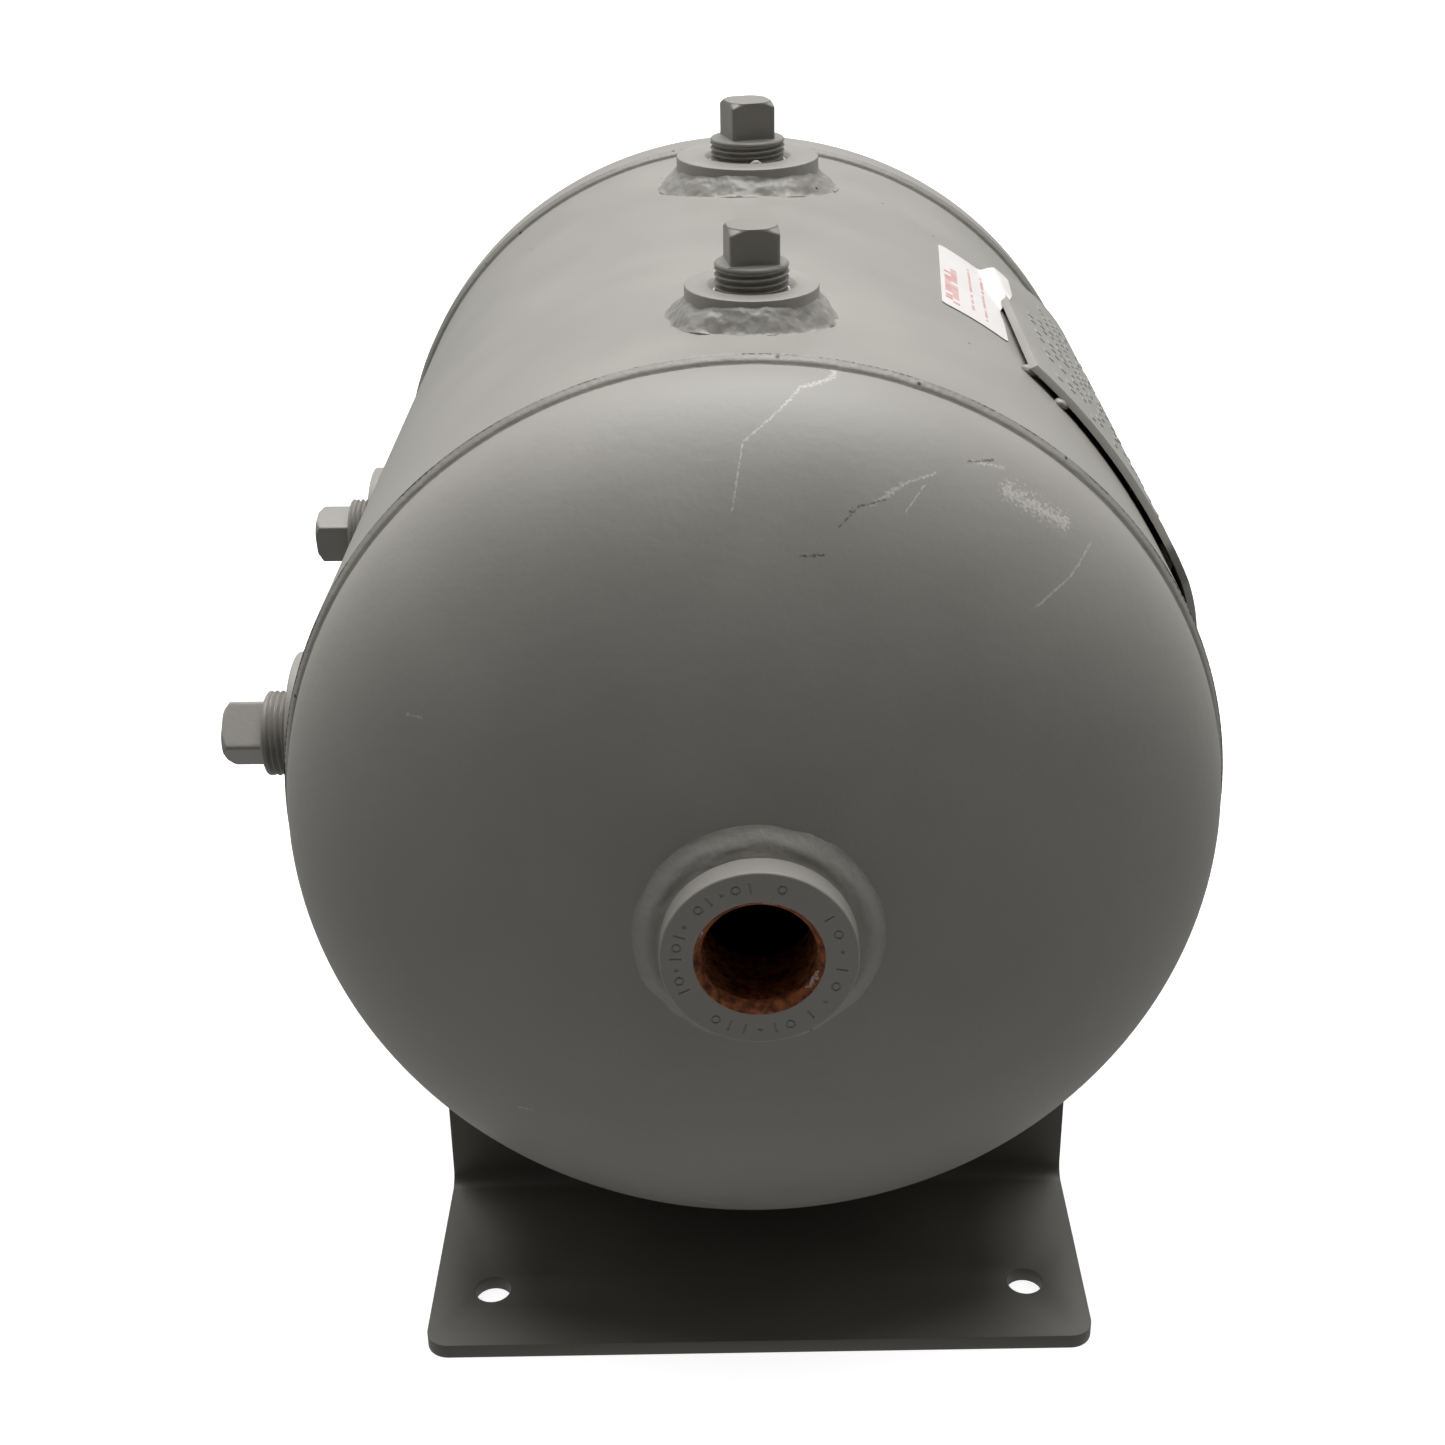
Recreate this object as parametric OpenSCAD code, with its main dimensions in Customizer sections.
// Horizontal plain steel expansion tank, 10.75 in diameter, on two bent plate feet.
// Origin: on the floor, midway between the four foot holes.
// +X is to the right seen from the open port, +Y runs to the rear, +Z is up.

/* [Tank] */
// Outside diameter of the rolled shell
shell_od = 273; // [264:1:280]
// Thickness of the shell and of both heads
wall = 2.3; // [2:0.1:3]
// Distance from the middle of the feet to the front round seam
front_reach = 140; // [138:1:145]
// Distance between the front and rear round seams
seam_gap = 266; // [262:1:300]
// Length of the front head's skirt, most of it inside the shell
front_skirt = 25.4; // [12:0.2:25.4]
// Length of the front skirt that shows in front of the shell
skirt_shown = 4.6; // [3:0.2:8]
// Length of the rear head's skirt, slipped over the shell
rear_skirt = 10.5; // [8:0.5:14]

/* [Front port] */
// Radius of the 1 in pipe thread's bore
port_bore_r = 14.8; // [14:0.1:16]
// Outside radius of the coupling
port_r = 25.9; // [22:0.1:28]
// Distance from the head's apex to the coupling's face
port_stand = 9; // [6:0.5:14]
// Length of the coupling
port_length = 25.4; // [20:0.2:30]

/* [Bosses and plugs] */
// Distance from the front seam to the front pair of bosses
front_station = 41; // [38:1:60]
// Distance from the front seam to the rear pair of bosses
rear_station = 216; // [200:1:240]
// Height of the top boss faces above the shell's highest line
top_stand = 8; // [7:0.5:10]
// Length of a boss along its bore
boss_length = 21; // [18:0.5:26]
// Thread pitch of 1/2 in and 3/4 in taper pipe threads
pitch = 1.814; // [1.8:0.007:1.828]
// Radial clearance between a plug's crests and its boss
thread_gap = 0.05; // [0.02:0.01:0.08]
// Length of plug thread that shows above a top boss face
top_thread = 6.5; // [5:0.5:8]

/* [Feet] */
// Width of each foot plate
foot_w = 203.2; // [190:0.2:210]
// Thickness of the foot plate
foot_t = 4.8; // [4:0.1:6.4]
// Distance between the two hole rows, front foot to rear foot
hole_rows = 330.2; // [325:0.1:340]
// Distance between the two holes of a foot
hole_spacing = 166.7; // [150:0.1:170]
// Diameter of the bolt holes
hole_d = 11.1; // [9:0.1:12]
// Distance from a hole to the foot's outer edge
hole_edge = 24; // [20:0.5:26]
// Height of the tank's axis above the floor
axis_height = 163; // [160:1:170]

/* [Nameplate and label] */
// Angle of the nameplate's middle from the top, towards +X
plate_angle = 64; // [60:1:66]
// Gap between the shell and the nameplate
plate_gap = 1.8; // [1.5:0.1:3]
// Thickness of the nameplate
plate_t = 2.2; // [1.5:0.1:3]
// Angle of the label's middle from the top, towards +X
label_angle = 32.5; // [30:0.5:33]

/* [Hidden] */

$fn = 96;
paint = "DarkGray";
far = 400;

shell_r = shell_od / 2;
shell_ri = shell_r - wall;
front_y = -front_reach;
rear_y = front_y + seam_gap;
rear_head_r = shell_r + wall;
front_tangent = front_y - skirt_shown;
rear_tangent = rear_y + rear_skirt;
shell_short = 3;
shell_end = rear_tangent - shell_short;
port_face = front_tangent - shell_ri / 2 - port_stand;
seam_leg = 2.4;
port_toe_r = 33.5;
port_weld_h = 3.2;

// A pipe size: boss radius, weld toe radius, bore radius, plug square side,
// plug head height and length of plug thread
half_inch = [19.05, 24.8, 10.75, 14.3, 10.4, 18];
three_quarter = [25.4, 32.4, 13.45, 15.9, 13, 19.1];

// A port: pipe size, angle from the top towards +X, distance from the front seam, turn of the plug,
// height of the boss face above the shell, and length of plug thread that shows
top_front = [half_inch, 0, front_station, 8, top_stand, top_thread];
top_rear = [three_quarter, 0, rear_station, 17.5, top_stand, top_thread];
side_front = [three_quarter, -90, front_station + 8, 47, 5, 10];
side_rear = [three_quarter, -90, rear_station, -12, 7, 9.5];
ports = [top_front, top_rear, side_front, side_rear];

tape_low = -3.2;
tape_high = 0.6;
tape_t = 0.8;
seam_angle = 125;
seam_w = 4;
crown_w = 6;
crown_h = 0.8;
crown_gap = 6;
bend_r = 5;
corner_r = 7;
web_top = 70;
foot_length = 76;
foot_end = hole_rows / 2 + hole_edge;
web_y = foot_end - foot_length;
bracket_leg = 4.5;
bracket_weld_top = 64;
plate_r = shell_r + plate_gap;
tack_r = 4;
label_t = 0.3;

// Outline of the nameplate, across and along the tank, from the middle of the plate
plate_outline = [[-62, -70], [-6, -108], [6, -108], [62, -70], [62, 45], [8, 105], [-8, 105], [-62, 45]];
tacks = [[-54, -62], [0, -98], [54, -62], [54, 38], [0, 94], [-46, 38]];
label_w = 24.5;
label_l = 88;
label_turn = -5;

// Places what is drawn about the Z axis on the tank's own axis, Z pointing to the rear
module on_axis() {
    translate([0, 0, axis_height]) rotate([-90, 0, 0]) children();
}

// Turns children about the tank's axis, from the top towards +X, Z pointing outwards
module at_angle(angle, y = 0) {
    translate([0, y, axis_height]) rotate([0, angle, 0]) children();
}

// Places children on a port's axis, with Z = 0 at the boss face
module at_port(port) {
    at_angle(port[1], front_y + port[2]) translate([0, 0, shell_r + port[4]]) children();
}

// Half an ellipsoid twice as wide as it is deep, solid down to the skirt's end
module head_solid(r, straight) {
    rotate_extrude()
        polygon(concat([[0, -straight], [r, -straight]],
            [for (a = [0:5:85]) [r * cos(a), r / 2 * sin(a)]], [[0, r / 2]]));
}

module head(r, straight) {
    difference() {
        head_solid(r, straight);
        head_inside(r, straight);
    }
}

// The hollow of a head: the same ellipse, one wall thickness inside
module head_inside(r, straight) {
    rotate_extrude()
        polygon(concat([[0, -straight - 1], [r - wall, -straight - 1]],
            [for (a = [0:5:85]) [(r - wall) * cos(a), (r / 2 - wall) * sin(a)]], [[0, r / 2 - wall]]));
}

module front_place() {
    translate([0, front_tangent, axis_height]) rotate([90, 0, 0]) children();
}

module shell() {
    color(paint) difference() {
        on_axis() translate([0, 0, front_y]) difference() {
            cylinder(r = shell_r, h = shell_end - front_y);
            translate([0, 0, -1]) cylinder(r = shell_ri, h = shell_end - front_y + 2);
        }
        at_angle(seam_angle) translate([-seam_w / 2, -far / 2, 0]) cube([seam_w, far, far]);
        for (port = ports)
            at_port(port) translate([0, 0, -boss_length]) cylinder(r = port[0][0], h = boss_length);
    }
}

module front_head() {
    color(paint) difference() {
        front_place() head(shell_ri, front_skirt);
        on_axis() translate([0, 0, port_face]) cylinder(r = port_r, h = port_length + 10);
    }
}

module rear_head() {
    color(paint) translate([0, rear_tangent, axis_height]) rotate([-90, 0, 0]) head(rear_head_r, rear_skirt);
}

// A round fillet bead: its long leg runs along the cylinder of radius r, towards the front
module seam_bead(r, y) {
    color(paint) on_axis() translate([0, 0, y]) rotate_extrude()
        polygon([[r, 0], [r + wall, 0], [r + wall * 0.55, -seam_leg * 0.6], [r, -seam_leg]]);
}

module front_seam_weld() {
    seam_bead(shell_ri, front_y);
}

module rear_seam_weld() {
    seam_bead(shell_r, rear_y);
}

// The butt bead that closes the rolled shell, with its crown ground off at both round seams
module long_seam_weld() {
    color(paint) intersection() {
        on_axis() translate([0, 0, front_y]) difference() {
            union() {
                cylinder(r = shell_r, h = shell_end - front_y);
                translate([0, 0, crown_gap])
                    cylinder(r = shell_r + crown_h, h = seam_gap - 2 * crown_gap);
            }
            translate([0, 0, -1]) cylinder(r = shell_ri, h = shell_end - front_y + 2);
        }
        at_angle(seam_angle) union() {
            translate([-seam_w / 2, -far / 2, 0]) cube([seam_w, far, far]);
            translate([-crown_w / 2, -far / 2, shell_r]) cube([crown_w, far, far]);
        }
    }
}

// A threaded steel boss, Z = 0 at its face, with a chamfered mouth
module boss(outer_r, bore_r, length) {
    mouth = 1.5;
    color(paint) difference() {
        translate([0, 0, -length]) cylinder(r = outer_r, h = length);
        translate([0, 0, -length - 1]) cylinder(r = bore_r, h = length + 2);
        translate([0, 0, -mouth]) cylinder(r1 = bore_r, r2 = bore_r + mouth, h = mouth);
        cylinder(r = bore_r + mouth, h = 1);
    }
}

// Fillet bead round a boss, hollow in section, down to the surface below
module boss_bead(boss_r, toe_r, height, drop) {
    leg = toe_r - boss_r;
    rotate_extrude()
        polygon([[boss_r, height], [boss_r + leg * 0.12, height], [boss_r + leg * 0.4, height * 0.45],
            [boss_r + leg * 0.75, height * 0.14], [toe_r, 0.2], [toe_r, -drop], [boss_r, -drop]]);
}

module port_boss(port) {
    at_port(port) boss(port[0][0], port[0][2], boss_length);
}

module port_boss_weld(port) {
    rim = 2;
    color(paint) difference() {
        at_port(port) translate([0, 0, -port[4]])
            boss_bead(port[0][0], port[0][1], port[4] - rim, 6);
        on_axis() cylinder(r = shell_r, h = far * 2, center = true, $fn = 480);
    }
}

// Square-head pipe plug, Z = 0 at the boss face, with a neck for the seal tape
module plug(size, thread_shown) {
    r = size[2] - thread_gap;
    depth = size[5] - thread_shown;
    side = size[3];
    head_h = size[4];
    groove = 1.1;
    chamfer = 1;
    runout = 0.8;
    cone_h = 2.4;
    cone_in = 3;
    neck = r - tape_t - thread_gap;
    turns_in = floor((depth + tape_low - chamfer) / pitch);
    turns_out = floor((thread_shown - tape_high - runout) / pitch);
    head_r = side * 0.66;
    profile = concat([[0, -depth], [r - chamfer, -depth], [r, -depth + chamfer]],
        [for (i = [0:turns_in - 1], p = [[r, 0.25], [r - groove, 0.5], [r, 0.75]])
            [p[0], -depth + chamfer + (i + p[1]) * pitch]],
        [[r, tape_low], [neck, tape_low], [neck, tape_high], [r, tape_high]],
        [for (i = [0:turns_out - 1], p = [[r, 0.1], [r - groove, 0.45], [r, 0.8]])
            [p[0], tape_high + (i + p[1]) * pitch]],
        [[r, thread_shown - runout], [r - chamfer, thread_shown], [0, thread_shown]]);
    rotate_extrude() polygon(profile);
    intersection() {
        translate([-side / 2, -side / 2, thread_shown]) cube([side, side, head_h]);
        rotate_extrude() translate([0, thread_shown]) polygon([[0, 0], [head_r, 0],
            [head_r, head_h - cone_h], [head_r - cone_in, head_h], [0, head_h]]);
    }
}

module port_plug(port) {
    color(paint) at_port(port) rotate([0, 0, port[3]]) plug(port[0], port[5]);
}

// Turns of sealing tape in the plug's neck, at the mouth of the boss
module port_tape(port) {
    r = port[0][2] - thread_gap;
    end_gap = 0.1;
    color("White") at_port(port) translate([0, 0, tape_low + end_gap]) difference() {
        cylinder(r = r, h = tape_high - tape_low - 2 * end_gap);
        translate([0, 0, -1]) cylinder(r = r - tape_t, h = tape_high - tape_low + 2);
    }
}

module front_port_coupling() {
    color(paint) translate([0, port_face, axis_height]) rotate([90, 0, 0])
        boss(port_r, port_bore_r, port_length);
}

module front_port_weld() {
    color(paint) difference() {
        front_place() translate([0, 0, shell_ri / 2 - 2])
            boss_bead(port_r, port_toe_r, port_weld_h + 2, 4);
        front_place() head_solid(shell_ri, front_skirt);
    }
}

// Plate foot for the front: flat foot outwards, bend, and web cut to the shell's curve
module bracket() {
    color("DimGray") difference() {
        union() {
            translate([-foot_w / 2, -foot_end + corner_r, 0])
                cube([foot_w, foot_end - corner_r - web_y - bend_r, foot_t]);
            translate([-foot_w / 2 + corner_r, -foot_end, 0])
                cube([foot_w - 2 * corner_r, corner_r, foot_t]);
            for (side = [-1, 1])
                translate([side * (foot_w / 2 - corner_r), -foot_end + corner_r, 0])
                    cylinder(r = corner_r, h = foot_t);
            translate([-foot_w / 2, -web_y, foot_t + bend_r])
                cube([foot_w, foot_t, web_top - foot_t - bend_r]);
            translate([0, -web_y - bend_r, foot_t + bend_r]) rotate([0, 90, 0]) intersection() {
                difference() {
                    cylinder(r = bend_r + foot_t, h = foot_w, center = true);
                    cylinder(r = bend_r, h = foot_w + 2, center = true);
                }
                translate([0, 0, -foot_w / 2]) cube([50, 50, foot_w]);
            }
        }
        for (side = [-1, 1])
            translate([side * hole_spacing / 2, -hole_rows / 2, -1]) cylinder(d = hole_d, h = foot_t + 2);
        on_axis() cylinder(r = shell_r, h = far * 2, center = true);
    }
}

// The two fillet beads along the web's saddle cut
module bracket_weld() {
    color("DimGray") intersection() {
        on_axis() rotate_extrude() {
            polygon([[shell_r, -web_y], [shell_r + bracket_leg, -web_y], [shell_r, -web_y - bracket_leg]]);
            translate([0, foot_t])
                polygon([[shell_r, -web_y], [shell_r + bracket_leg, -web_y], [shell_r, -web_y + bracket_leg]]);
        }
        translate([-far / 2, -far, 0]) cube([far, far, bracket_weld_top]);
    }
}

// A patch between two radii about the tank's axis, cut to what is drawn radially from it
module patch(r, t, angle) {
    intersection() {
        on_axis() translate([0, 0, front_y]) difference() {
            cylinder(r = r + t, h = seam_gap);
            translate([0, 0, -1]) cylinder(r = r, h = seam_gap + 2);
        }
        at_angle(angle) children();
    }
}

module nameplate() {
    color(paint) patch(plate_r, plate_t, plate_angle)
        linear_extrude(height = far) polygon(plate_outline);
}

module nameplate_welds() {
    color(paint) patch(shell_r, plate_gap, plate_angle)
        for (tack = tacks) translate([tack[0], tack[1], 0]) cylinder(r = tack_r, h = far);
}

module caution_label() {
    color("White") patch(shell_r, label_t, label_angle)
        rotate([0, 0, label_turn]) translate([-label_w / 2, -label_l / 2, 0]) cube([label_w, label_l, far]);
}

shell();
front_head();
rear_head();
front_seam_weld();
rear_seam_weld();
long_seam_weld();
front_port_coupling();
front_port_weld();
port_boss(top_front);  // top_front_boss
port_boss_weld(top_front);  // top_front_boss_weld
port_plug(top_front);  // top_front_plug
port_tape(top_front);  // top_front_seal_tape
port_boss(top_rear);  // top_rear_boss
port_boss_weld(top_rear);  // top_rear_boss_weld
port_plug(top_rear);  // top_rear_plug
port_tape(top_rear);  // top_rear_seal_tape
port_boss(side_front);  // side_front_boss
port_boss_weld(side_front);  // side_front_boss_weld
port_plug(side_front);  // side_front_plug
port_tape(side_front);  // side_front_seal_tape
port_boss(side_rear);  // side_rear_boss
port_boss_weld(side_rear);  // side_rear_boss_weld
port_plug(side_rear);  // side_rear_plug
port_tape(side_rear);  // side_rear_seal_tape
bracket();  // front_bracket
bracket_weld();  // front_bracket_weld
mirror([0, 1, 0]) bracket();  // rear_bracket
mirror([0, 1, 0]) bracket_weld();  // rear_bracket_weld
nameplate();
nameplate_welds();
caution_label();
